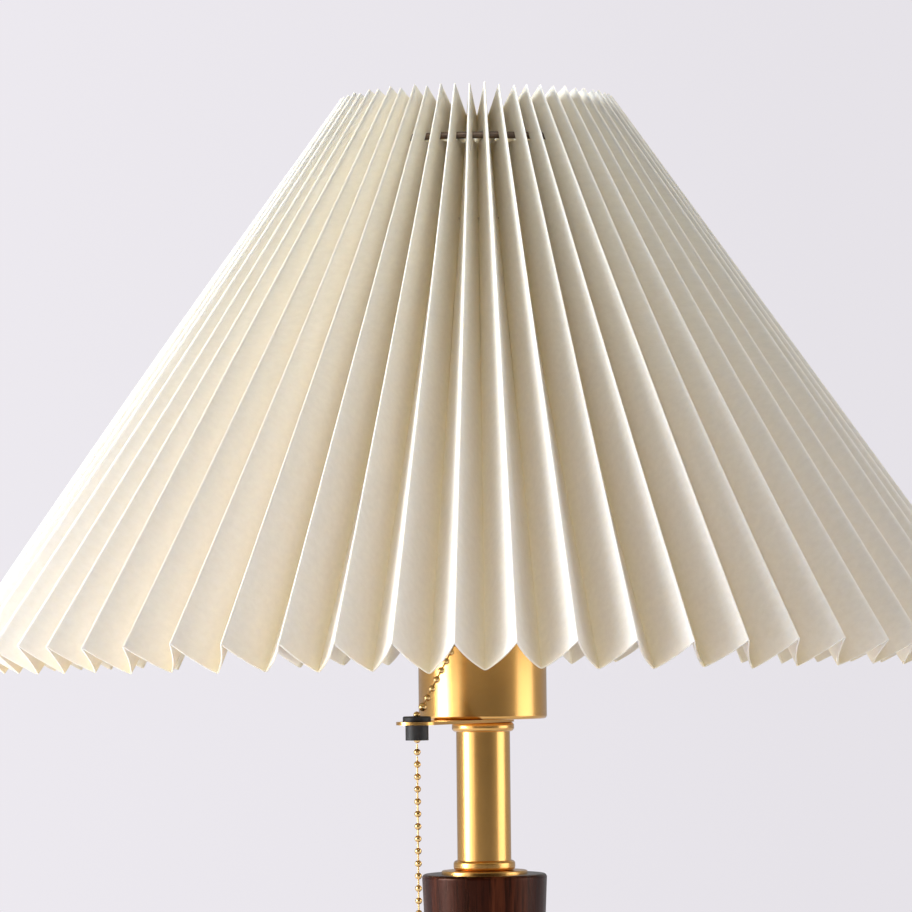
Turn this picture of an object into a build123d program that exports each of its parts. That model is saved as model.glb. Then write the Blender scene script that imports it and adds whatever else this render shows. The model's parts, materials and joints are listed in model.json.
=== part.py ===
from build123d import *
import os
from math import asin, cos, radians, sin, sqrt

# A table lamp: a pleated cone shade over a turned walnut column on a round foot, with a brass
# neck, a brass cup round the lampholder and a ball-chain pull switch led out by a guide arm.
# Millimetres, +Z up. The origin is the centre of the felt pad's underside, where the lamp
# stands, and the front, where the chain hangs, faces -Y.

os.makedirs("parts", exist_ok=True)

# ---------------------------------------------------------------- driving dimensions
FIT = 0.05  # radial gap of pieces that sit inside each other
GAP = 0.3  # gap between pieces that move past each other

# foot and column
PAD_R, PAD_H = 71.0, 2.0
FOOT_R, FOOT_H = 75.0, 24.0
RECESS_R, RECESS_H = 62.0, 12.0
WEIGHT_H = 9.0
WEIGHT_SCREW_CIRCLE_R, SCREW_R, SCREW_HEAD_R = 40.0, 2.1, 4.2
COLUMN_TOP = 190.0
COLUMN_TOP_R, COLUMN_WAIST_R, COLUMN_FOOT_R = 22.3, 18.6, 21.5
COLUMN_WAIST_Z = 84.0
ROD_R, ROD_BORE_R = 5.0, 3.5
GLAND_R, GLAND_BORE_R, GLAND_Z = 4.6, 3.2, 9.0

# brass neck
FLANGE_R, FLANGE_H = 15.3, 1.2
TUBE_R, TUBE_WALL = 9.6, 1.0
BEAD_RING_R, BEAD_RING_H = 11.0, 3.6
COLLAR_R, COLLAR_H = 11.1, 3.4
NECK_H = 53.9  # column top to the underside of the guide arm

# guide arm and its bush
ARM_T, ARM_END_R = 1.1, 7.2
BUSH_X, BUSH_Y = -23.1, -46.5
BUSH_R, BUSH_FLANGE_R = 4.0, 4.9
BUSH_FLANGE_H, BUSH_BELOW = 1.9, 5.3
BUSH_MOUTH_R, BUSH_THROAT_R, BUSH_MOUTH_DEPTH = 3.05, 2.1, 4.4

# ball chain
BEAD_R, STOP_BEAD_R, LINK_R, PITCH = 1.2, 1.5, 0.3, 4.28
CHAIN_LEAN_X, CHAIN_LEAN_Y, CHAIN_RISE = 14.7, 21.8, 28.2  # upper run, from bush to switch
UPPER_BEADS, CORE_BEADS, LOWER_BEADS = 13, 3, 23
MOUTH_SHIFT = 0.4  # the upper run leans on the side of the bush's mouth that faces the cup
FIRST_BEAD = 4.4  # from the bush's mouth to the lowest bead of the upper run
PULL = 6.0  # travel of the chain
OUTLET_R, OUTLET_BORE_R, OUTLET_L = 2.7, 1.8, 6.0

# lampholder
CUP_R, CUP_WALL, CUP_H = 22.85, 0.8, 52.0
LEVER_L, LEVER_T = 20.4, 1.6  # from the pin to the chain
TAB_R, TAB_T = 1.8, 0.5
PIN_R = 1.2
SLEEVE_R, SLEEVE_WALL = 19.8, 2.2
SHELL_R = 13.4  # inside radius of the E27 screw shell
SHELL_WALL = 0.4
CAP_R = 13.15  # E27 bulb cap

# shade
PLEATS = 60
RIDGE_BOTTOM_R, RIDGE_BOTTOM_Z = 186.5, COLUMN_TOP + 82.6
RIDGE_TOP_R, RIDGE_TOP_Z = 49.0, COLUMN_TOP + 276.9
FLANK = 18.3  # width of the paper between two folds
PAPER = 0.45
RING_WIRE_R, BAR_R, THREAD_R = 1.2, 1.0, 0.4
RING_DROP, THREAD_DROP = 18.7, 48.7  # below the shade's top
RING_OUT = 11.5  # from the inner folds out to the middle of the ring's wire
SLOT_H, SLOT_END = 3.0, 0.4  # the slots end this far outside the ring
HUB_R, HUB_T, BARS = 27.0, 1.5, 3

# ---------------------------------------------------------------- heights
FOOT_TOP = PAD_H + FOOT_H
CEILING_Z = PAD_H + RECESS_H  # top of the recess under the foot
ARM_Z = COLUMN_TOP + NECK_H
CUP_Z = ARM_Z + ARM_T
CUP_FLOOR = CUP_Z + CUP_WALL
BUSH_TOP = CUP_Z + BUSH_FLANGE_H
NUT_H = 5.0
BOSS_Z = CUP_FLOOR + NUT_H + GAP
SWITCH_Z, SWITCH_TOP = CUP_Z + 11.0, CUP_Z + 46.0
ROD_BOTTOM, ROD_TOP = PAD_H + 3.0, BOSS_Z + 10.0
SLEEVE_TOP = SWITCH_TOP + 25.0
SHOULDER_Z = COLUMN_TOP + 113.3
SHOULDER_T = 2.0
HUB_Z = SHOULDER_Z + SHOULDER_T + GAP
RING_NUT_Z, RING_NUT_H, RING_NUT_R = HUB_Z + HUB_T + GAP, 5.0, 23.4
RING_Z = RIDGE_TOP_Z - RING_DROP
THREAD_Z = RIDGE_TOP_Z - THREAD_DROP


def save(part, name):
    """Label one finished piece and write it under its node name."""
    part.label = name
    export_step(part, f"parts/{name}.step")


# ---------------------------------------------------------------- foot
with BuildPart() as felt_pad:
    with BuildSketch():
        Circle(PAD_R)
    extrude(amount=PAD_H)
save(felt_pad.part, "felt_pad")

with BuildPart() as wood_base:
    with BuildSketch(Plane.XY.offset(PAD_H)):
        Circle(FOOT_R)
    extrude(amount=FOOT_H)
    fillet(wood_base.edges().group_by(Axis.Z)[-1], 7.0)
    chamfer(wood_base.edges().group_by(Axis.Z)[0], 1.5)
    with BuildSketch(Plane.XY.offset(PAD_H)):
        Circle(RECESS_R)
    extrude(amount=RECESS_H, mode=Mode.SUBTRACT)
    with BuildSketch(Plane.XY.offset(CEILING_Z)):
        Circle(ROD_R + FIT)
    extrude(amount=FOOT_H, mode=Mode.SUBTRACT)
    # cord entry through the rear wall, with a flat seat for the gland's flange
    with BuildSketch(Plane.XZ.offset(-RECESS_R + 2)):
        with Locations((0, GLAND_Z)):
            Circle(GLAND_R + FIT)
    extrude(amount=-FOOT_R, mode=Mode.SUBTRACT)
    with BuildSketch(Plane.XZ.offset(-FOOT_R + 1)):
        with Locations((0, GLAND_Z)):
            Circle(GLAND_R + 2.2)
    extrude(amount=-FOOT_R, mode=Mode.SUBTRACT)
save(wood_base.part, "wood_base")

WEIGHT_Z = CEILING_Z - WEIGHT_H
low_end = (Align.CENTER, Align.CENTER, Align.MIN)

with BuildPart(Plane.XY.offset(WEIGHT_Z)) as base_weight:
    with BuildSketch(Plane.XY.offset(WEIGHT_Z)):
        Circle(RECESS_R - 0.5)
        Circle(18.0, mode=Mode.SUBTRACT)
        with Locations((0, RECESS_R / 2)):
            Rectangle(14, RECESS_R, mode=Mode.SUBTRACT)
    extrude(amount=WEIGHT_H)
    with PolarLocations(WEIGHT_SCREW_CIRCLE_R, 3, start_angle=30):
        Cone(SCREW_HEAD_R + FIT, SCREW_R + FIT, SCREW_R, align=low_end, mode=Mode.SUBTRACT)
        Cylinder(SCREW_R + FIT, WEIGHT_H, align=low_end, mode=Mode.SUBTRACT)
save(base_weight.part, "base_weight")

with BuildPart(Plane.XY.offset(WEIGHT_Z)) as weight_screws:
    with PolarLocations(WEIGHT_SCREW_CIRCLE_R, 3, start_angle=30):
        Cone(SCREW_HEAD_R, SCREW_R, SCREW_R, align=low_end)
        Cylinder(SCREW_R, WEIGHT_H, align=low_end)
save(weight_screws.part, "weight_screws")

with BuildPart() as bottom_washer:
    with BuildSketch(Plane.XY.offset(CEILING_Z - 1.6)):
        Circle(13.0)
        Circle(ROD_R + FIT, mode=Mode.SUBTRACT)
    extrude(amount=1.6)
save(bottom_washer.part, "bottom_washer")


def hex_nut(bottom_z):
    """An M10 x 1 hexagon nut, 17 mm across its flats."""
    with BuildPart() as nut:
        with BuildSketch(Plane.XY.offset(bottom_z)):
            RegularPolygon(8.5, 6, major_radius=False)
            Circle(ROD_R + FIT, mode=Mode.SUBTRACT)
        extrude(amount=NUT_H)
    return nut.part


save(hex_nut(CEILING_Z - 1.6 - NUT_H), "bottom_nut")
save(hex_nut(CUP_FLOOR), "cup_nut")

with BuildPart() as cord_gland:
    with BuildSketch(Plane.XZ.offset(-RECESS_R)):
        with Locations((0, GLAND_Z)):
            Circle(GLAND_R)
    extrude(amount=-(FOOT_R + 1 - RECESS_R))
    with BuildSketch(Plane.XZ.offset(-FOOT_R + 1)):
        with Locations((0, GLAND_Z)):
            Circle(GLAND_R + 2)
    extrude(amount=-2)
    fillet(cord_gland.edges().group_by(Axis.Y)[-1], 0.8)
    with BuildSketch(Plane.XZ.offset(-RECESS_R)):
        with Locations((0, GLAND_Z)):
            Circle(GLAND_BORE_R)
    extrude(amount=-FOOT_R, mode=Mode.SUBTRACT)
save(cord_gland.part, "cord_gland")

# ---------------------------------------------------------------- column and neck
with BuildPart() as wood_column:
    with BuildSketch(Plane.XZ):
        with BuildLine():
            Line((ROD_R + FIT, FOOT_TOP), (COLUMN_FOOT_R, FOOT_TOP))
            side = Spline(
                (COLUMN_FOOT_R, FOOT_TOP),
                (COLUMN_WAIST_R, COLUMN_WAIST_Z),
                (COLUMN_TOP_R, COLUMN_TOP),
                tangents=((-0.12, 1), (0.04, 1)),
            )
            Line((COLUMN_TOP_R, COLUMN_TOP), (ROD_R + FIT, COLUMN_TOP))
            Line((ROD_R + FIT, COLUMN_TOP), (ROD_R + FIT, FOOT_TOP))
        make_face()
    revolve(axis=Axis.Z)
    rim = wood_column.edges().group_by(Axis.Z)[-1].sort_by(SortBy.RADIUS)[-1]
    fillet(rim, 1.3)
save(wood_column.part, "wood_column")

with BuildPart() as threaded_rod:
    with BuildSketch(Plane.XY.offset(ROD_BOTTOM)):
        Circle(ROD_R)
        Circle(ROD_BORE_R, mode=Mode.SUBTRACT)
    extrude(amount=ROD_TOP - ROD_BOTTOM)
save(threaded_rod.part, "threaded_rod")

with BuildPart() as flange_washer:
    with BuildSketch(Plane.XY.offset(COLUMN_TOP)):
        Circle(FLANGE_R)
        Circle(ROD_R + FIT, mode=Mode.SUBTRACT)
    extrude(amount=FLANGE_H)
    fillet(flange_washer.edges().group_by(Axis.Z)[-1].sort_by(SortBy.RADIUS)[-1], 0.5)
save(flange_washer.part, "flange_washer")

with BuildPart() as bead_ring:
    with BuildSketch(Plane.XZ) as ring_section:
        with Locations((TUBE_R + FIT, COLUMN_TOP + FLANGE_H)):
            Rectangle(BEAD_RING_R - TUBE_R - FIT, BEAD_RING_H, align=(Align.MIN, Align.MIN))
        fillet(ring_section.vertices().group_by(Axis.X)[-1], 1.3)
    revolve(axis=Axis.Z)
save(bead_ring.part, "bead_ring")

with BuildPart() as neck_tube:
    with BuildSketch(Plane.XY.offset(COLUMN_TOP + FLANGE_H)):
        Circle(TUBE_R)
        Circle(TUBE_R - TUBE_WALL, mode=Mode.SUBTRACT)
    extrude(amount=ARM_Z - COLUMN_TOP - FLANGE_H)
save(neck_tube.part, "neck_tube")

with BuildPart() as top_collar:
    with BuildSketch(Plane.XZ) as collar_section:
        with Locations((TUBE_R + FIT, ARM_Z)):
            Rectangle(COLLAR_R - TUBE_R - FIT, COLLAR_H, align=(Align.MIN, Align.MAX))
        fillet(collar_section.vertices().group_by(Axis.X)[-1], 1.4)
    revolve(axis=Axis.Z)
save(top_collar.part, "top_collar")

# ---------------------------------------------------------------- guide arm and bush
with BuildPart() as guide_arm:
    with BuildSketch(Plane.XY.offset(ARM_Z)):
        Circle(COLLAR_R)
        with Locations((BUSH_X, BUSH_Y)):
            Circle(ARM_END_R)
        make_hull()
        Circle(ROD_R + FIT, mode=Mode.SUBTRACT)
        with Locations((BUSH_X, BUSH_Y)):
            Circle(BUSH_R + FIT, mode=Mode.SUBTRACT)
    extrude(amount=ARM_T)
save(guide_arm.part, "guide_arm")

bush_axis = Axis((BUSH_X, BUSH_Y, 0), (0, 0, 1))
with BuildPart() as arm_bush:
    bottom = ARM_Z - BUSH_BELOW
    throat = BUSH_TOP - BUSH_MOUTH_DEPTH
    with BuildSketch(Plane(origin=(BUSH_X, BUSH_Y, 0), x_dir=(1, 0, 0), z_dir=(0, -1, 0))):
        Polygon(
            (BUSH_THROAT_R, bottom),
            (BUSH_R, bottom),
            (BUSH_R, CUP_Z),
            (BUSH_FLANGE_R, CUP_Z),
            (BUSH_FLANGE_R, BUSH_TOP),
            (BUSH_MOUTH_R, BUSH_TOP),
            (BUSH_MOUTH_R, throat),
            (BUSH_THROAT_R, throat - 1.0),
            align=None,
        )
    revolve(axis=bush_axis)
    fillet(arm_bush.edges().group_by(Axis.Z)[-1].sort_by(SortBy.RADIUS)[-1], 0.5)
save(arm_bush.part, "arm_bush")

# ---------------------------------------------------------------- ball chain
mouth = Vector(BUSH_X + MOUTH_SHIFT, BUSH_Y, BUSH_TOP)
chain_up = Vector(CHAIN_LEAN_X, CHAIN_LEAN_Y, CHAIN_RISE).normalized()
upper_low = mouth + chain_up * FIRST_BEAD
lever_tip = upper_low + chain_up * (UPPER_BEADS - 1) * PITCH


def bead_run(lowest, up, count, stub_up=0.0, stub_down=0.0, lowest_r=BEAD_R):
    """Beads on their link wire, from the lowest bead upwards."""
    side = up.cross(Vector(1, 0, 0)).normalized()
    length = (count - 1) * PITCH
    with BuildPart() as run:
        with BuildSketch(Plane(origin=lowest, x_dir=side, z_dir=side.cross(up))):
            with Locations(*[(0, bead * PITCH) for bead in range(count)]):
                Circle(BEAD_R)
            Circle(lowest_r)
            with Locations((0, (length + stub_up - stub_down) / 2)):
                Rectangle(2 * LINK_R, length + stub_up + stub_down)
            with Locations((-STOP_BEAD_R, length / 2)):
                Rectangle(2 * STOP_BEAD_R, length + 4 * PITCH, mode=Mode.SUBTRACT)
        revolve(axis=Axis(lowest, up))
    return run.part


CORE_TOP = BUSH_TOP + 0.5
SWIVEL_Z = CORE_TOP - CORE_BEADS * PITCH
LOWER_TOP = SWIVEL_Z - PITCH
LOWER_BOTTOM = LOWER_TOP - (LOWER_BEADS - 1) * PITCH
STUB = PITCH - BEAD_R - GAP  # link wire that stops just short of the next bead
vertical = Vector(0, 0, 1)
core_low = Vector(BUSH_X, BUSH_Y, CORE_TOP - (CORE_BEADS - 1) * PITCH)
save(bead_run(upper_low, chain_up, UPPER_BEADS, lowest_r=STOP_BEAD_R), "chain_upper")
save(bead_run(core_low, vertical, CORE_BEADS), "chain_core")
save(bead_run(Vector(BUSH_X, BUSH_Y, SWIVEL_Z), vertical, 1, stub_up=STUB), "chain_swivel")
lower_low = Vector(BUSH_X, BUSH_Y, LOWER_BOTTOM)
save(bead_run(lower_low, vertical, LOWER_BEADS, stub_up=STUB, stub_down=PITCH), "chain_lower")

PENDANT_R, PENDANT_L = 4.4, 20.0
with BuildPart() as chain_pendant:
    top = LOWER_BOTTOM - BEAD_R - FIT
    with BuildSketch(Plane(origin=(BUSH_X, BUSH_Y, top), x_dir=(1, 0, 0), z_dir=(0, -1, 0))):
        Polygon(
            (LINK_R + FIT, 0),
            (1.7, 0),
            (2.2, -0.25 * PENDANT_L),
            (PENDANT_R, -0.8 * PENDANT_L),
            (PENDANT_R, -0.92 * PENDANT_L),
            (0.7 * PENDANT_R, -PENDANT_L),
            (LINK_R + FIT, -PENDANT_L),
            align=None,
        )
    revolve(axis=bush_axis)
save(chain_pendant.part, "chain_pendant")

# ---------------------------------------------------------------- lampholder
# the chain runs into the cup through a slanted outlet, to a lever that swings about a pin inside
# the switch; half way through the chain's travel the lever stands square to the chain
outlet = lever_tip - chain_up * 11.6  # where the chain crosses the cup's wall
tab_centre = lever_tip - chain_up * PITCH / 2
outward = Vector(lever_tip.X, lever_tip.Y, 0).normalized()
square = (outward - chain_up * outward.dot(chain_up)).normalized()
half_swing = asin(PULL / 2 / LEVER_L)
lever_out = square * cos(half_swing) + chain_up * sin(half_swing)
pivot = tab_centre - lever_out * LEVER_L
lever_axis = lever_out.cross(chain_up).normalized()
lever_plane = Plane(origin=pivot, x_dir=lever_out, z_dir=lever_axis)

with BuildPart() as socket_cup:
    with BuildSketch(Plane.XY.offset(CUP_Z)):
        Circle(CUP_R)
    extrude(amount=CUP_H)
    fillet(socket_cup.edges().group_by(Axis.Z)[0], 1.2)
    with BuildSketch(Plane.XY.offset(CUP_FLOOR)):
        Circle(CUP_R - CUP_WALL)
    extrude(amount=CUP_H, mode=Mode.SUBTRACT)
    with BuildSketch(Plane.XY.offset(CUP_Z)):
        Circle(ROD_R + FIT)
    extrude(amount=CUP_WALL, mode=Mode.SUBTRACT)
    with BuildSketch(Plane(origin=outlet, z_dir=chain_up)):
        Circle(OUTLET_R + FIT)
    extrude(amount=OUTLET_L, both=True, mode=Mode.SUBTRACT)
save(socket_cup.part, "socket_cup")

with BuildPart() as chain_outlet:
    with BuildSketch(Plane(origin=outlet, z_dir=chain_up)):
        Circle(OUTLET_R)
    extrude(amount=OUTLET_L / 2, both=True)
    with BuildSketch(Plane(origin=outlet, z_dir=chain_up)):
        Circle(OUTLET_BORE_R)
    extrude(amount=OUTLET_L, both=True, mode=Mode.SUBTRACT)
    with BuildSketch(Plane.XY.offset(CUP_Z)):  # its inner end stops within the wall, clear of the tab
        Circle(CUP_R - CUP_WALL / 2)
    extrude(amount=CUP_H, mode=Mode.SUBTRACT)
save(chain_outlet.part, "chain_outlet")

with BuildPart() as switch_body:
    with BuildSketch(Plane.XZ):
        Polygon(
            (ROD_R + FIT, BOSS_Z),
            (ROD_R + 3.5, BOSS_Z),
            (SLEEVE_R - 0.4, SWITCH_Z),
            (SLEEVE_R - 0.4, SWITCH_TOP),
            (0, SWITCH_TOP),
            (0, ROD_TOP + 1.0),
            (ROD_R + FIT, ROD_TOP + 1.0),
            align=None,
        )
    revolve(axis=Axis.Z)
    with BuildSketch(lever_plane):  # room for the lever
        with Locations((10, -2.0)):
            Rectangle(28, 11)
    extrude(amount=LEVER_T / 2 + 0.4, both=True, mode=Mode.SUBTRACT)
    with BuildSketch(lever_plane):  # room for the spring beside it
        Circle(3.4)
    extrude(amount=6.0, mode=Mode.SUBTRACT)
    with BuildSketch(Plane(origin=lever_tip + chain_up * 1.8, z_dir=-chain_up)):  # and for the chain
        Circle(TAB_R + 0.9)
    extrude(amount=2 * CUP_R, mode=Mode.SUBTRACT)
    with BuildSketch(lever_plane.offset(-6.0)):
        Circle(PIN_R)
    extrude(amount=12.0, mode=Mode.SUBTRACT)
save(switch_body.part, "switch_body")

with BuildPart() as lever_pin:
    with BuildSketch(lever_plane.offset(-6.0)):
        Circle(PIN_R)
    extrude(amount=12.0)
save(lever_pin.part, "lever_pin")

with BuildPart() as switch_lever:
    with BuildSketch(lever_plane):
        arm_end = LEVER_L - BEAD_R - 0.4
        with Locations((arm_end / 2, 0)):
            Rectangle(arm_end, 2.4)
        Circle(3.0)
        Circle(PIN_R + FIT, mode=Mode.SUBTRACT)
    extrude(amount=LEVER_T / 2, both=True)
    # a thin tab that carries the chain between its two top beads
    with BuildSketch(Plane(origin=tab_centre, z_dir=chain_up)):
        Circle(TAB_R)
        Circle(LINK_R + 0.6, mode=Mode.SUBTRACT)
    extrude(amount=TAB_T / 2, both=True)
save(switch_lever.part, "switch_lever")

SPRING_WIRE_R, SPRING_R, SPRING_PITCH, SPRING_TURNS = 0.35, 2.4, 1.0, 3.5
with BuildPart() as switch_spring:
    with BuildLine():
        coil = Helix(
            pitch=SPRING_PITCH,
            height=SPRING_PITCH * SPRING_TURNS,
            radius=SPRING_R,
            center=pivot + lever_axis * (LEVER_T / 2 + 0.9),
            direction=lever_axis,
        )
    with BuildSketch(Plane(origin=coil @ 0, z_dir=coil % 0)):
        Circle(SPRING_WIRE_R)
    sweep(is_frenet=True)
save(switch_spring.part, "switch_spring")


def turned(name, *outline):
    """A ring turned about the lamp's axis from an outline of (radius, height) points."""
    with BuildPart() as ring:
        with BuildSketch(Plane.XZ):
            Polygon(*outline, align=None)
        revolve(axis=Axis.Z)
    save(ring.part, name)


turned(
    "socket_sleeve",
    (SLEEVE_R - SLEEVE_WALL, SWITCH_TOP),
    (SLEEVE_R, SWITCH_TOP),
    (SLEEVE_R, SHOULDER_Z - 1.5),
    (CUP_R, SHOULDER_Z),
    (CUP_R, SHOULDER_Z + SHOULDER_T),
    (SLEEVE_R, SHOULDER_Z + SHOULDER_T),
    (SLEEVE_R, SLEEVE_TOP),
    (SLEEVE_R - SLEEVE_WALL - 1.5, SLEEVE_TOP),
    (SLEEVE_R - SLEEVE_WALL - 1.5, SLEEVE_TOP - 1.5),
    (SLEEVE_R - SLEEVE_WALL, SLEEVE_TOP - 1.5),
)

INSERT_BORE_R = SHELL_R + SHELL_WALL + 0.7
CONTACT_Z = SWITCH_TOP + 3.0
turned(
    "socket_insert",
    (0, SWITCH_TOP),
    (SLEEVE_R - SLEEVE_WALL - FIT, SWITCH_TOP),
    (SLEEVE_R - SLEEVE_WALL - FIT, SLEEVE_TOP - 1.6),
    (INSERT_BORE_R, SLEEVE_TOP - 1.6),
    (INSERT_BORE_R, CONTACT_Z),
    (0, CONTACT_Z),
)

SHELL_BOTTOM, SHELL_TOP = CONTACT_Z + 1.5, SLEEVE_TOP - 2.5
turned(
    "screw_shell",
    (SHELL_R, SHELL_BOTTOM),
    (SHELL_R + SHELL_WALL, SHELL_BOTTOM),
    (SHELL_R + SHELL_WALL, SHELL_TOP),
    (SHELL_R, SHELL_TOP),
)

with BuildPart() as centre_contact:
    with BuildSketch(Plane.XY.offset(CONTACT_Z)):
        SlotOverall(11, 4)
    extrude(amount=0.8)
    with BuildSketch(Plane.XY.offset(CONTACT_Z + 0.8)):
        Circle(1.8)
    extrude(amount=0.8)
save(centre_contact.part, "centre_contact")

turned(
    "shade_nut",
    (SLEEVE_R + FIT, RING_NUT_Z),
    (RING_NUT_R, RING_NUT_Z),
    (RING_NUT_R, RING_NUT_Z + RING_NUT_H - 0.8),
    (RING_NUT_R - 0.8, RING_NUT_Z + RING_NUT_H),
    (SLEEVE_R + FIT, RING_NUT_Z + RING_NUT_H),
)

# ---------------------------------------------------------------- bulb
BULB_TIP_Z = CONTACT_Z + 1.8
CAP_TOP = BULB_TIP_Z + 25.0
BULB_R, BULB_NECK_R, BULB_TOP = 30.0, 14.5, BULB_TIP_Z + 105.0
turned(
    "bulb_cap",
    (0, BULB_TIP_Z),
    (4.5, BULB_TIP_Z),
    (CAP_R - 2.0, BULB_TIP_Z + 4.0),
    (CAP_R, BULB_TIP_Z + 5.0),
    (CAP_R, CAP_TOP),
    (0, CAP_TOP),
)

with BuildPart() as bulb_glass:
    centre_z = BULB_TOP - BULB_R
    with BuildSketch(Plane.XZ):
        with BuildLine():
            Line((0, CAP_TOP), (BULB_NECK_R, CAP_TOP))
            Spline((BULB_NECK_R, CAP_TOP), (BULB_R, centre_z), tangents=((0.15, 1), (0, 1)))
            RadiusArc((BULB_R, centre_z), (0, BULB_TOP), -BULB_R)
            Line((0, BULB_TOP), (0, CAP_TOP))
        make_face()
    revolve(axis=Axis.Z)
save(bulb_glass.part, "bulb_glass")

# ---------------------------------------------------------------- shade
slant = Vector(RIDGE_BOTTOM_R - RIDGE_TOP_R, 0, RIDGE_BOTTOM_Z - RIDGE_TOP_Z).normalized()
inward = Vector(slant.Z, 0, -slant.X)  # square to the slant, towards the lamp's axis
STEP = 180.0 / PLEATS  # degrees between a ridge and the next inner fold


def fold_ends(index):
    """The four ends of fold number index: outer and inner face, at the bottom and the top."""
    ends = []
    for radius, height in ((RIDGE_BOTTOM_R, RIDGE_BOTTOM_Z), (RIDGE_TOP_R, RIDGE_TOP_Z)):
        half_pitch = radius * sin(radians(STEP))
        depth = sqrt(FLANK**2 - half_pitch**2)
        through = PAPER * FLANK / half_pitch  # the paper's thickness, measured square to the slant
        outer = Vector(radius, 0, height)
        if index % 2 == 0:  # inner folds stand at the even numbers
            outer += inward * depth
        ends += [outer, outer + inward * through]
    return [end.rotate(Axis.Z, STEP * index - 90) for end in ends]


def strip(a, b, c, d):
    """The ruled face between the line from a to b and the line from c to d."""
    return Face.make_surface_from_curves(Edge.make_line(a, b), Edge.make_line(c, d))


def pleated_paper():
    """One closed solid of all the pleats, with their ends square to the slant."""
    faces = []
    for index in range(2 * PLEATS):
        low_out, low_in, top_out, top_in = fold_ends(index)
        next_low_out, next_low_in, next_top_out, next_top_in = fold_ends(index + 1)
        faces += [
            strip(low_out, next_low_out, top_out, next_top_out),
            strip(low_in, next_low_in, top_in, next_top_in),
            strip(low_out, next_low_out, low_in, next_low_in),
            strip(top_out, next_top_out, top_in, next_top_in),
        ]
    return Solid(Shell(faces))


def valley_radius(height):
    """Radius of the inner folds' outer face at a height."""
    low, _, top, _ = fold_ends(0)
    share = (height - low.Z) / (top.Z - low.Z)
    low_r, top_r = (sqrt(end.X**2 + end.Y**2) for end in (low, top))
    return low_r + share * (top_r - low_r)


RING_R = valley_radius(RING_Z) + RING_OUT
THREAD_RING_R = valley_radius(THREAD_Z) + THREAD_R + 0.7

with BuildPart() as shade_pleats:
    add(pleated_paper())
    with BuildSketch(Plane.XZ):  # slots at the inner folds, which hook onto the top ring
        with Locations((RING_R + RING_WIRE_R + SLOT_END, RING_Z)):
            Rectangle(RING_OUT + 8.0, SLOT_H, align=(Align.MAX, Align.CENTER))
        with Locations((THREAD_RING_R, THREAD_Z)):
            Rectangle(2.4 * THREAD_R, 4 * THREAD_R)
    revolve(axis=Axis.Z, mode=Mode.SUBTRACT)
save(shade_pleats.part, "shade_pleats")

with BuildPart() as shade_top_ring:
    with BuildSketch(Plane.XZ):
        with Locations((RING_R, RING_Z)):
            Circle(RING_WIRE_R)
    revolve(axis=Axis.Z)
save(shade_top_ring.part, "shade_top_ring")

with BuildPart() as shade_thread:
    with BuildSketch(Plane.XZ):
        with Locations((THREAD_RING_R, THREAD_Z)):
            Circle(THREAD_R)
    revolve(axis=Axis.Z)
save(shade_thread.part, "shade_thread")

turned(
    "shade_hub",
    (SLEEVE_R + GAP, HUB_Z),
    (HUB_R, HUB_Z),
    (HUB_R, HUB_Z + HUB_T),
    (SLEEVE_R + GAP, HUB_Z + HUB_T),
)

# the bars run from the top ring inwards, down past the bulb and in again to the hub
BAR_FOOT_R = HUB_R - BAR_R - 0.6
with BuildPart() as shade_bars:
    inner_fold = valley_radius(RING_Z) - 8.0
    for bar in range(BARS):
        bar_plane = Plane(origin=(0, 0, 0), x_dir=(0, 1, 0), z_dir=(1, 0, 0)).rotated((0, 0, 120 * bar))
        with BuildLine(bar_plane):
            FilletPolyline(
                (RING_R - RING_WIRE_R, RING_Z),
                (inner_fold, RING_Z),
                (inner_fold, RING_Z - 14.0),
                (50.0, RING_Z - 48.0),
                (50.0, HUB_Z + 42.0),
                (BAR_FOOT_R, HUB_Z + 16.0),
                (BAR_FOOT_R, HUB_Z + HUB_T),
                radius=5.0,
            )
        path_start = bar_plane.from_local_coords((RING_R - RING_WIRE_R, RING_Z, 0))
        with BuildSketch(Plane(origin=path_start, z_dir=-bar_plane.x_dir)):
            Circle(BAR_R)
        sweep()
save(shade_bars.part, "shade_bars")

print("pivot", pivot, "axis", lever_axis, "chain up", chain_up, "swing", 2 * half_swing)
print("swivel z", SWIVEL_Z, "pendant bottom", LOWER_BOTTOM - BEAD_R - FIT - PENDANT_L)
print("shade solids", len(shade_pleats.part.solids()), "volume", shade_pleats.part.volume)
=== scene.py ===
import json
import math
import random

import bpy
import numpy as np
from mathutils import Matrix, Vector


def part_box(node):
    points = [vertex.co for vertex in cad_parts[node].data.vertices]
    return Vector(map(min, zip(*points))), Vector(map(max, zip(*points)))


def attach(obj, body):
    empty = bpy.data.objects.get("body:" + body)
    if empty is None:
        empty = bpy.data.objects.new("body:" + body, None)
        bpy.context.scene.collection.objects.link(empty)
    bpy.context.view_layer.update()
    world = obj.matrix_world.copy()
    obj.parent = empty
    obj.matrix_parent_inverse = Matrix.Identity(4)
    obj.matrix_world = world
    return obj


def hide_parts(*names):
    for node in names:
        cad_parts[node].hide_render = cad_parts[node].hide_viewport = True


# Looks for the pleated-shade table lamp. Metres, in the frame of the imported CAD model:
# +Z up, the lamp stands on z = 0, and the side with the pull chain faces -Y.

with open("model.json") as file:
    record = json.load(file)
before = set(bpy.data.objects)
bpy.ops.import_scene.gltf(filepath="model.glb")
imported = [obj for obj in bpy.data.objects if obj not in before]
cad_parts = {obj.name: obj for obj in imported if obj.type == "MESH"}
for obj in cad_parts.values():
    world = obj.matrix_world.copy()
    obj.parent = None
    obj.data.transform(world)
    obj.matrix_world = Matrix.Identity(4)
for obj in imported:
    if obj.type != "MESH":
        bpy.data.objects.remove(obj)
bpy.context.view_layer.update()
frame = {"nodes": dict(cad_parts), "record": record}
nodes = frame["nodes"]

MM = 0.001


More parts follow.
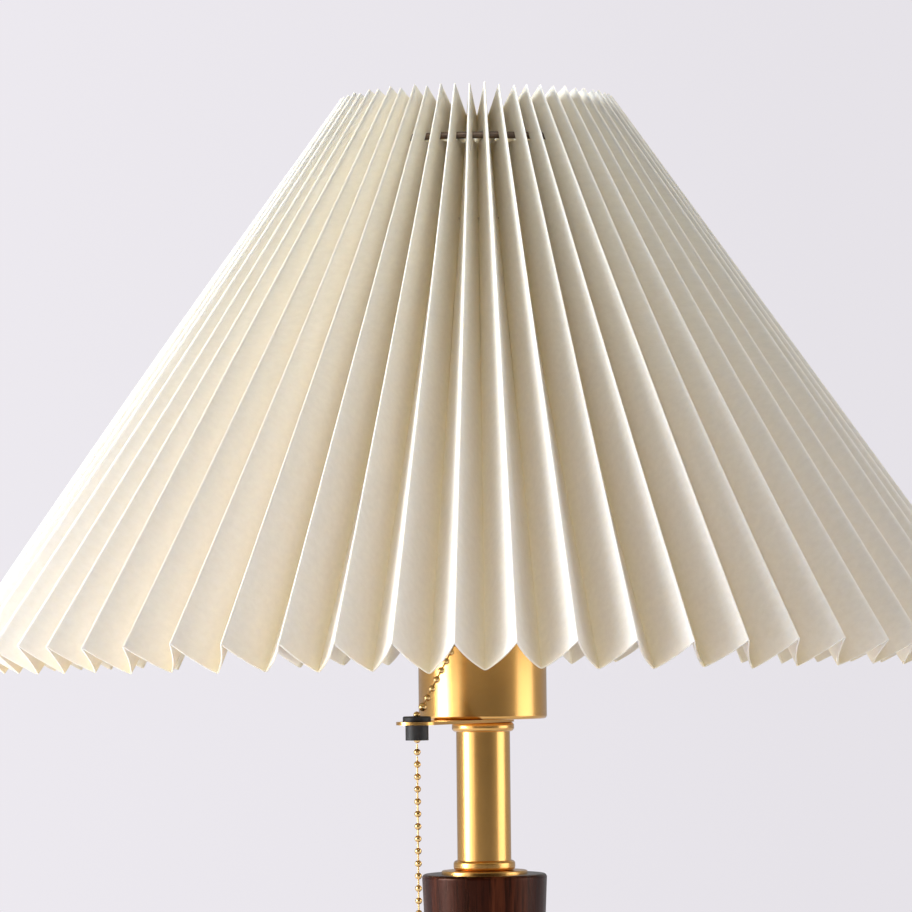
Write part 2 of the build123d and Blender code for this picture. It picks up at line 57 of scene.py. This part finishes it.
# ---------------------------------------------------------------- material helpers
class Graph:
    """A short way to write a material's node tree."""

    def __init__(self, name, rough, metal=0.0, colour=(0.8, 0.8, 0.8)):
        self.material = bpy.data.materials.new(name)
        self.material.use_nodes = True
        self.tree = self.material.node_tree
        self.shader = self.tree.nodes["Principled BSDF"]
        self.set(Roughness=rough, Metallic=metal, Base_Color=(*colour, 1.0))
        self.material.diffuse_color = (*colour, 1.0)

    def set(self, **values):
        for key, value in values.items():
            self.shader.inputs[key.replace("_", " ")].default_value = value

    def node(self, kind, **settings):
        made = self.tree.nodes.new(kind)
        for key, value in settings.items():
            if key in made.inputs:
                made.inputs[key].default_value = value
            else:
                setattr(made, key, value)
        return made

    def link(self, out, into):
        self.tree.links.new(out, into)

    def place(self, scale=(1.0, 1.0, 1.0)):
        """Object coordinates, stretched by a scale on each axis."""
        coords = self.node("ShaderNodeTexCoord")
        mapping = self.node("ShaderNodeMapping")
        mapping.inputs["Scale"].default_value = scale
        self.link(coords.outputs["Object"], mapping.inputs["Vector"])
        return mapping.outputs["Vector"]

    def noise(self, vector, scale, detail=3.0, roughness=0.5, distortion=0.0):
        made = self.node("ShaderNodeTexNoise")
        made.inputs["Scale"].default_value = scale
        made.inputs["Detail"].default_value = detail
        made.inputs["Roughness"].default_value = roughness
        made.inputs["Distortion"].default_value = distortion
        self.link(vector, made.inputs["Vector"])
        return made.outputs["Fac"]

    def ramp(self, value, *stops):
        made = self.node("ShaderNodeValToRGB")
        band = made.color_ramp
        band.elements[0].position, band.elements[0].color = stops[0][0], (*stops[0][1], 1.0)
        band.elements[1].position, band.elements[1].color = stops[-1][0], (*stops[-1][1], 1.0)
        for position, colour in stops[1:-1]:
            band.elements.new(position).color = (*colour, 1.0)
        self.link(value, made.inputs["Fac"])
        return made.outputs["Color"]

    def spread(self, value, low, high, source=(0.0, 1.0)):
        """A value from the source's range, mapped to the range from low to high."""
        made = self.node("ShaderNodeMapRange")
        made.inputs["From Min"].default_value, made.inputs["From Max"].default_value = source
        made.inputs["To Min"].default_value = low
        made.inputs["To Max"].default_value = high
        self.link(value, made.inputs["Value"])
        return made.outputs["Result"]

    def mix(self, share, first, second, mode="MIX"):
        """Two colours mixed by a share, which is a number or a socket."""
        made = self.node("ShaderNodeMix", data_type="RGBA", blend_type=mode)
        for source, slot in ((share, 0), (first, 6), (second, 7)):
            if isinstance(source, (int, float)):
                made.inputs[slot].default_value = source
            elif isinstance(source, tuple):
                made.inputs[slot].default_value = (*source, 1.0)
            else:
                self.link(source, made.inputs[slot])
        return made.outputs[2]

    def colour(self, socket):
        self.link(socket, self.shader.inputs["Base Color"])

    def roughness(self, socket):
        self.link(socket, self.shader.inputs["Roughness"])

    def bump(self, height, strength, distance):
        made = self.node("ShaderNodeBump")
        made.inputs["Strength"].default_value = strength
        made.inputs["Distance"].default_value = distance
        self.link(height, made.inputs["Height"])
        if self.shader.inputs["Normal"].is_linked:
            earlier = self.shader.inputs["Normal"].links[0].from_socket
            self.link(earlier, made.inputs["Normal"])
        self.link(made.outputs["Normal"], self.shader.inputs["Normal"])


# ---------------------------------------------------------------- materials
def brass_material(name, colour, rough, brush=True):
    """Lacquered brass; turned pieces have faint brush lines that run round them."""
    g = Graph(name, rough, 1.0, colour)
    cloud = g.noise(g.place(), 22.0, 4.0)
    dark = tuple(0.86 * c for c in colour)
    g.colour(g.ramp(cloud, (0.3, dark), (0.7, colour)))
    if brush:
        lines = g.noise(g.place((18.0, 18.0, 2600.0)), 1.0, 2.0)
        fine = g.noise(g.place((60.0, 60.0, 9000.0)), 1.0, 1.0)
        g.roughness(g.spread(lines, rough - 0.01, rough + 0.015))
        g.bump(lines, 0.004, 0.0003)
        g.bump(fine, 0.006, 0.0002)
        g.set(Coat_Weight=0.45, Coat_Roughness=0.18)
    else:
        g.roughness(g.spread(cloud, rough - 0.05, rough + 0.08))
    return g.material


def walnut_material():
    """Dark walnut under a satin lacquer, with its grain along the column."""
    g = Graph("walnut", 0.36)
    rings = g.noise(g.place((70.0, 70.0, 6.0)), 1.0, 5.0, 0.62, 1.2)
    pores = g.noise(g.place((900.0, 900.0, 26.0)), 1.0, 3.0, 0.6)
    tone = g.ramp(
        rings, (0.25, (0.007, 0.001, 0.0005)), (0.5, (0.028, 0.005, 0.002)), (0.75, (0.12, 0.03, 0.011))
    )
    pore_tone = g.ramp(pores, (0.36, (0.35, 0.32, 0.3)), (0.52, (1.0, 1.0, 1.0)))
    g.colour(g.mix(1.0, tone, pore_tone, "MULTIPLY"))
    g.roughness(g.spread(rings, 0.2, 0.3))
    g.set(Specular_IOR_Level=0.26, Specular_Tint=(1.0, 0.5, 0.36, 1.0))
    g.bump(pores, 0.25, 0.0003)
    return g.material


def plastic_material(name, colour, rough):
    """Moulded phenolic or rubber with a fine skin."""
    g = Graph(name, rough, 0.0, colour)
    skin = g.noise(g.place(), 900.0, 3.0)
    g.colour(g.ramp(skin, (0.3, tuple(0.8 * c for c in colour)), (0.7, tuple(1.25 * c for c in colour))))
    g.roughness(g.spread(skin, rough - 0.05, rough + 0.1))
    g.bump(skin, 0.15, 0.0002)
    return g.material


def steel_material(name, colour, rough):
    """Plated or lacquered metal with slight clouding."""
    g = Graph(name, rough, 1.0, colour)
    cloud = g.noise(g.place(), 140.0, 4.0)
    g.colour(g.ramp(cloud, (0.3, tuple(0.8 * c for c in colour)), (0.7, colour)))
    g.roughness(g.spread(cloud, rough - 0.08, rough + 0.1))
    g.bump(cloud, 0.08, 0.0002)
    return g.material


def iron_material():
    """Rough grey casting."""
    g = Graph("cast_iron", 0.75, 0.6, (0.09, 0.09, 0.09))
    grit = g.noise(g.place(), 420.0, 6.0, 0.7)
    g.colour(g.ramp(grit, (0.3, (0.05, 0.05, 0.05)), (0.7, (0.13, 0.125, 0.12))))
    g.bump(grit, 0.7, 0.001)
    return g.material


def felt_material():
    """Dense dark felt."""
    g = Graph("felt", 0.95, 0.0, (0.03, 0.03, 0.03))
    fibres = g.noise(g.place(), 1600.0, 5.0, 0.7, 0.8)
    g.colour(g.ramp(fibres, (0.3, (0.015, 0.015, 0.016)), (0.75, (0.06, 0.058, 0.056))))
    g.set(Sheen_Weight=0.4, Sheen_Roughness=0.6)
    g.bump(fibres, 0.6, 0.0006)
    return g.material


def opal_material():
    """Opal glass of the bulb."""
    g = Graph("opal_glass", 0.22, 0.0, (0.9, 0.9, 0.88))
    cloud = g.noise(g.place(), 30.0, 2.0)
    g.colour(g.ramp(cloud, (0.3, (0.86, 0.86, 0.84)), (0.7, (0.93, 0.93, 0.91))))
    g.set(Subsurface_Weight=0.5, Subsurface_Scale=0.004, Coat_Weight=0.3)
    return g.material


def porcelain_material():
    """Glazed lampholder body."""
    g = Graph("porcelain", 0.18, 0.0, (0.8, 0.79, 0.75))
    cloud = g.noise(g.place(), 60.0, 3.0)
    g.colour(g.ramp(cloud, (0.3, (0.74, 0.73, 0.69)), (0.7, (0.84, 0.83, 0.79))))
    g.roughness(g.spread(cloud, 0.12, 0.25))
    return g.material


PAPER_SHADE = (0.82, 0.75, 0.64)
PAINTED_TOP_LIGHT_FROM_TO = (0.05, 0.23)  # metres up the slant over which the painted top light comes in


def paper_material():
    """Ivory textile-covered paper with small slubs, with painted light: warmer and yellower down in the
    inner folds, paler along the outer folds, and lighter and warmer at the top.
    """
    g = Graph("shade_paper", 0.6, 0.0, PAPER_SHADE)
    fold = g.node("ShaderNodeAttribute", attribute_name="fold").outputs["Fac"]
    along = g.node("ShaderNodeAttribute", attribute_name="weave").outputs["Vector"]
    # painted light: the inner folds get a warm yellow glow standing in for light bounced between the
    # flanks and shining through the paper, and the outer folds a paler painted highlight
    tone = g.ramp(fold, (0.0, (0.86, 0.77, 0.58)), (0.4, PAPER_SHADE), (1.0, (0.88, 0.84, 0.77)))
    # painted light: the paper turns a little darker low on the slant and lighter and warmer towards the
    # top
    split = g.node("ShaderNodeSeparateXYZ")
    g.link(along, split.inputs["Vector"])
    height = g.spread(split.outputs["Y"], 0.0, 1.0, PAINTED_TOP_LIGHT_FROM_TO)
    painted_top_light = g.ramp(height, (0.0, (0.92, 0.915, 0.92)), (1.0, (1.0, 0.985, 0.925)))
    tone = g.mix(1.0, tone, painted_top_light, "MULTIPLY")
    slub = g.noise(along, 420.0, 4.0, 0.6)
    speck = g.ramp(slub, (0.3, (0.94, 0.935, 0.93)), (0.65, (1.0, 1.0, 1.0)))
    g.colour(g.mix(1.0, tone, speck, "MULTIPLY"))
    g.roughness(g.spread(slub, 0.5, 0.66))
    g.set(Subsurface_Weight=0.7, Subsurface_Scale=0.0014, Subsurface_Radius=(1.0, 0.85, 0.65))
    g.bump(slub, 0.12, 0.0002)
    return g.material


materials = {
    "satin_brass": brass_material("satin_brass", (0.8, 0.45, 0.13), 0.26),
    "chain_brass": brass_material("chain_brass", (0.82, 0.56, 0.24), 0.2, brush=False),
    "contact_brass": brass_material("contact_brass", (0.72, 0.52, 0.24), 0.3, brush=False),
    "walnut": walnut_material(),
    "iron": iron_material(),
    "felt": felt_material(),
    "zinc_steel": steel_material("zinc_steel", (0.55, 0.55, 0.56), 0.35),
    "nickel_shell": steel_material("nickel_shell", (0.62, 0.6, 0.56), 0.28),
    "frame_wire": steel_material("frame_wire", (0.2, 0.15, 0.115), 0.45),
    "black_plastic": plastic_material("black_plastic", (0.02, 0.02, 0.02), 0.42),
    "black_rubber": plastic_material("black_rubber", (0.014, 0.014, 0.014), 0.5),
    "porcelain": porcelain_material(),
    "opal_glass": opal_material(),
    "thread": plastic_material("thread", (0.55, 0.48, 0.36), 0.8),
    "shade_paper": paper_material(),
}

for row in frame["record"]["subparts"]:
    node = nodes[row["node"]]
    node.data.materials.clear()
    node.data.materials.append(materials[row["material_slot"]])


# ---------------------------------------------------------------- pleated shade
PLEATS = 60
FOLDS = 2 * PLEATS
HALF_STEP = math.pi / PLEATS  # the turn from one fold to the next
FLANK = 18.3 * MM  # width of the paper between two folds
PAPER = 0.5 * MM
CLEARANCE = 0.1 * MM  # between the paper and the outline of the CAD shade
SLOPE = math.radians(35.286)  # of the outer folds, from the vertical
DROP = 194.3 * MM  # from the top of an outer fold down to its lower end
TOP_R, TOP_Z = 49.0 * MM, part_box("shade_pleats")[1].z
BOTTOM_R, BOTTOM_Z = TOP_R + DROP * math.tan(SLOPE), TOP_Z - DROP
SLANT = DROP / math.cos(SLOPE)
INWARD = np.array([-math.cos(SLOPE), -math.sin(SLOPE)])  # (radius, height), square to the slant
CREASE_ANGLE = math.radians(50)
INNER_SIDE_SHIFT = (0, 0, 0.05)  # gives the paper's two sides different slubs

# the top ring and the thread lie in level slots across the inner folds
RING_SLOT, THREAD_SLOT = 3.0 * MM, 1.5 * MM  # their heights
SLOT_SHARE = 0.71  # how far a ring slot reaches from an inner fold to an outer one
THREAD_HOLE = (0.04, 0.09)  # where a thread hole starts and ends, beside the inner fold
LEVEL_FROM, LEVEL_RISE, LEVEL_FADE = 0.4, 0.2, 0.033  # shares of the slant

# shares of the way from an inner fold, 0, to an outer fold, 1, close together at the folds
SHARES = [0.0, *THREAD_HOLE, 0.15, 0.23, 0.33, 0.46, 0.6, SLOT_SHARE, 0.82, 0.9, 0.95, 0.98, 1.0]
VALLEY_ROUND, RIDGE_ROUND = 0.05, 0.02
BULGE, BULGE_POWER = 0.28, 3.2
ROWS, ROW_GAP = 27, 0.01

# hand-made unevenness: folds out of step, in shares of a half step, uneven ends and bowed folds
SEED = 4
STEP_JITTER_LOW, STEP_JITTER_HIGH = 0.035, 0.07
END_JITTER, BOW_JITTER = 0.35 * MM, 0.5 * MM
END_REACH = 1 / 8  # share of the slant over which an uneven end fades out


def fold_depth(radius):
    """How deep a pleat is, square to the slant, where its outer folds stand at a radius."""
    return math.sqrt(FLANK**2 - (radius * math.sin(HALF_STEP)) ** 2)


def slot_rows():
    """The lower and upper edges of the ring's slots and of the thread's, in shares of the slant."""
    low_z = BOTTOM_Z + INWARD[1] * fold_depth(BOTTOM_R)
    high_z = TOP_Z + INWARD[1] * fold_depth(TOP_R)
    slots = []
    for name, opening in (("shade_top_ring", RING_SLOT), ("shade_thread", THREAD_SLOT)):
        low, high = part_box(name)
        middle = (low.z + high.z) / 2
        edges = (middle - opening / 2, middle + opening / 2)
        slots.append([(edge - low_z) / (high_z - low_z) for edge in edges])
    return slots


def shade_rows(slots):
    """Shares of the slant from the bottom, 0, to the top, 1, with rows at the slots' edges."""
    rows = set(np.linspace(0.0, 1.0, ROWS))
    for low, high in slots:
        rows = {r for r in rows if r < low - ROW_GAP or r > high + ROW_GAP}
        rows |= {low, high}
    return sorted(rows)


def eased(share, rounding):
    """A share whose start is rounded off, so that a fold has no sharp crease."""
    full = math.sqrt(1 + rounding**2) - rounding
    return (math.sqrt(share**2 + rounding**2) - rounding) / full


def crown(share):
    """How far out of the inner fold a flank stands: it leaves the fold flat and steepens outwards."""
    share = 1 - eased(1 - eased(share, VALLEY_ROUND), RIDGE_ROUND)
    return (1 - BULGE) * share + BULGE * share**BULGE_POWER


def levelled(up):
    """How far a row follows a level line in place of a line square to the slant: fully at the slots."""
    return max(0.0, min(1.0, (up - LEVEL_FROM) / LEVEL_RISE, (1.0 - up) / LEVEL_FADE))


def shade_columns():
    """(the fold below, the share of the way to the next fold) for each column of vertices."""
    columns = []
    for fold in range(FOLDS):
        inner = fold % 2 == 0
        steps = SHARES if inner else [1 - share for share in reversed(SHARES)]
        columns += [(fold, step) for step in steps[:-1]]
    return columns


def shade_grid(rows, columns):
    """The middle of the paper, row by row, and how near each point is to an outer fold."""
    rng = random.Random(SEED)
    jitter_low, jitter_high, end_low, end_high, bow = (
        [rng.gauss(0, spread) for _ in range(FOLDS)]
        for spread in (STEP_JITTER_LOW, STEP_JITTER_HIGH, END_JITTER, END_JITTER, BOW_JITTER)
    )
    grid = np.zeros((len(rows), len(columns), 3))
    outness = np.zeros((len(rows), len(columns)))
    for c, (fold, step) in enumerate(columns):
        turn_low, turn_high, slide_low, slide_high, bowed = (
            (1 - step) * values[fold] + step * values[(fold + 1) % FOLDS]
            for values in (jitter_low, jitter_high, end_low, end_high, bow)
        )
        out = step if fold % 2 == 0 else 1 - step
        outness[:, c] = out
        for r, up in enumerate(rows):
            turn = (fold + step + (1 - up) * turn_low + up * turn_high) * HALF_STEP - math.pi / 2
            full_depth = fold_depth(BOTTOM_R + (TOP_R - BOTTOM_R) * up)
            lowered = up - levelled(up) * math.sin(SLOPE) * full_depth * crown(out) / DROP
            near_low = max(0.0, 1 - up / END_REACH)
            near_high = max(0.0, 1 - (1 - up) / END_REACH)
            slide = slide_high * near_high - slide_low * near_low
            depth = full_depth * (1 - crown(out)) + PAPER / 2 + CLEARANCE + bowed * 4 * up * (1 - up)
            radius = BOTTOM_R + (TOP_R - BOTTOM_R) * lowered + INWARD[0] * depth - math.sin(SLOPE) * slide
            height = BOTTOM_Z + (TOP_Z - BOTTOM_Z) * lowered + INWARD[1] * depth + math.cos(SLOPE) * slide
            grid[r, c] = (radius * math.cos(turn), radius * math.sin(turn), height)
    return grid, outness


def shade_faces(rows, slots, outness):
    """Faces of both sides of the paper and of its edges, left open at the slots."""
    count_rows, count_columns = outness.shape

    def open_cell(r, c):
        middle = (rows[r] + rows[r + 1]) / 2
        mean = (outness[r, c] + outness[r, (c + 1) % count_columns]) / 2
        ring, thread = slots
        if ring[0] < middle < ring[1]:
            return mean < SLOT_SHARE
        return thread[0] < middle < thread[1] and THREAD_HOLE[0] < mean < THREAD_HOLE[1]

    def at(r, c, side):
        return (side * count_rows + r) * count_columns + c % count_columns

    faces = []
    for r in range(count_rows - 1):
        for c in range(count_columns):
            if open_cell(r, c):
                continue
            faces.append((at(r, c, 0), at(r, c + 1, 0), at(r + 1, c + 1, 0), at(r + 1, c, 0)))
            faces.append((at(r, c, 1), at(r + 1, c, 1), at(r + 1, c + 1, 1), at(r, c + 1, 1)))
            sides = (
                (r == 0 or open_cell(r - 1, c), (r, c), (r, c + 1)),
                (r == count_rows - 2 or open_cell(r + 1, c), (r + 1, c + 1), (r + 1, c)),
                (open_cell(r, (c - 1) % count_columns), (r + 1, c), (r, c)),
                (open_cell(r, (c + 1) % count_columns), (r, c + 1), (r + 1, c + 1)),
            )
            for edge, first, second in sides:
                if edge:
                    faces.append((at(*second, 0), at(*first, 0), at(*first, 1), at(*second, 1)))
    return faces


def shade_mesh():
    """The folded paper, with how near each point is to an outer fold and its place on the flat sheet."""
    slots = slot_rows()
    rows, columns = shade_rows(slots), shade_columns()
    grid, outness = shade_grid(rows, columns)
    across = np.roll(grid, -1, 1) - np.roll(grid, 1, 1)
    normal = np.cross(across, np.gradient(grid, axis=0))
    normal /= np.linalg.norm(normal, axis=2, keepdims=True)
    shift = normal * PAPER / 2
    vertices = np.concatenate([(grid + shift).reshape(-1, 3), (grid - shift).reshape(-1, 3)])
    faces = shade_faces(rows, slots, outness)
    used = sorted({v for face in faces for v in face})
    renumber = {v: i for i, v in enumerate(used)}
    mesh = bpy.data.meshes.new("pleated_shade")
    mesh.from_pydata([tuple(vertices[v]) for v in used], [], [[renumber[v] for v in f] for f in faces])

    fold = np.concatenate([outness.ravel(), outness.ravel()])[used]
    mesh.attributes.new("fold", "FLOAT", "POINT").data.foreach_set("value", fold.astype(np.float32))
    width = np.array([(below + step) * FLANK for below, step in columns])
    slant = np.array(rows)[:, None] * SLANT
    flat = np.stack([*np.broadcast_arrays(width, slant), np.zeros_like(outness)], 2).reshape(-1, 3)
    flat = np.concatenate([flat, flat + INNER_SIDE_SHIFT])[used]
    weave = mesh.attributes.new("weave", "FLOAT_VECTOR", "POINT")
    weave.data.foreach_set("vector", flat.astype(np.float32).ravel())
    mesh.polygons.foreach_set("use_smooth", [True] * len(mesh.polygons))
    mesh.update()
    return mesh


shade = bpy.data.objects.new("pleated_shade", shade_mesh())
bpy.context.scene.collection.objects.link(shade)
shade.data.materials.append(materials["shade_paper"])
shade.data.set_sharp_from_angle(angle=CREASE_ANGLE)
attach(shade, "shade")
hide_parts("shade_pleats")


# ---------------------------------------------------------------- floor, light and camera
FLOOR_R = 2.4
bpy.ops.mesh.primitive_circle_add(vertices=128, radius=FLOOR_R, fill_type="NGON", location=(0, 0, 0))
floor = bpy.context.object
floor.name = "floor"
floor.data.materials.append(Graph("floor_paint", 0.6, 0.0, (0.78, 0.76, 0.79)).material)


LIGHT_AIM = Vector((0, 0, 0.33))  # the middle of the shade


def soft_light(name, place, size, power, colour):
    """A rectangular lamp that faces the shade: size in metres, power in watts."""
    data = bpy.data.lights.new(name, "AREA")
    data.shape = "RECTANGLE"
    data.size, data.size_y = size
    data.energy = power
    data.color = colour
    lamp = bpy.data.objects.new(name, data)
    lamp.location = place
    lamp.rotation_euler = (LIGHT_AIM - Vector(place)).to_track_quat("-Z", "Y").to_euler()
    bpy.context.scene.collection.objects.link(lamp)


soft_light("key_left", (-1.9, -0.45, 0.85), (0.9, 1.6), 64, (0.94, 0.965, 1.0))
soft_light("fill_right", (1.85, -0.25, 0.7), (1.3, 1.4), 14, (1.0, 0.985, 0.97))
soft_light("front_left", (-1.5, -1.15, 0.8), (0.9, 1.4), 8, (1.0, 0.98, 0.95))
soft_light("front_top", (-0.3, -1.4, 1.9), (1.4, 0.8), 13, (1.0, 0.98, 0.95))

# each colour's strength changes over a range of view directions along one axis
BACKDROP = (0.80, 0.775, 0.82)
BACKDROP_STRENGTH, BACKDROP_X = (1.06, 0.99), (-0.12, 0.08)  # a little paler on the left
ROOM = (0.8, 0.79, 0.8)
ROOM_STRENGTH, ROOM_Y = (0.05, 0.5), (-0.95, -0.35)  # dark in front: the brass has a dark middle


def room_world():
    """What lights the lamp and shows in the brass is the room; the camera sees a plain backdrop."""
    world = bpy.data.worlds.new("studio")
    world.use_nodes = True
    tree = world.node_tree
    link = tree.links.new
    direction = tree.nodes.new("ShaderNodeSeparateXYZ")
    link(tree.nodes.new("ShaderNodeTexCoord").outputs["Generated"], direction.inputs["Vector"])

    def background(made, colour, axis, reach, strengths, interpolation):
        made.inputs["Color"].default_value = (*colour, 1.0)
        ranged = tree.nodes.new("ShaderNodeMapRange")
        ranged.interpolation_type = interpolation
        ranged.inputs["From Min"].default_value, ranged.inputs["From Max"].default_value = reach
        ranged.inputs["To Min"].default_value, ranged.inputs["To Max"].default_value = strengths
        link(direction.outputs[axis], ranged.inputs["Value"])
        link(ranged.outputs["Result"], made.inputs["Strength"])
        return made.outputs[0]

    around = tree.nodes.new("ShaderNodeBackground")
    room = background(around, ROOM, "Y", ROOM_Y, ROOM_STRENGTH, "SMOOTHSTEP")
    behind = tree.nodes["Background"]
    backdrop = background(behind, BACKDROP, "X", BACKDROP_X, BACKDROP_STRENGTH, "LINEAR")
    chosen = tree.nodes.new("ShaderNodeMixShader")
    link(tree.nodes.new("ShaderNodeLightPath").outputs["Is Camera Ray"], chosen.inputs[0])
    link(room, chosen.inputs[1])
    link(backdrop, chosen.inputs[2])
    link(chosen.outputs[0], tree.nodes["World Output"].inputs["Surface"])
    return world


bpy.context.scene.world = room_world()
bpy.context.scene.view_settings.view_transform = "Standard"

# the camera stands level with the shade's lower edge and looks slightly up
DISTANCE = 1.607
LENS = 177.6  # mm, on a 36 mm wide sensor
EYE_Z = BOTTOM_Z + 0.0006
AIM = Vector((-0.0086, 0, BOTTOM_Z + 0.0663))
ROLL = math.radians(0.6)
camera_data = bpy.data.cameras.new("camera")
camera_data.lens = LENS
camera_data.sensor_width = 36.0
camera = bpy.data.objects.new("camera", camera_data)
camera.location = (AIM.x, -DISTANCE, EYE_Z)
look = (AIM - camera.location).to_track_quat("-Z", "Y").to_matrix()
camera.rotation_euler = (look @ Matrix.Rotation(-ROLL, 3, "Z")).to_euler()
bpy.context.scene.collection.objects.link(camera)
bpy.context.scene.camera = camera
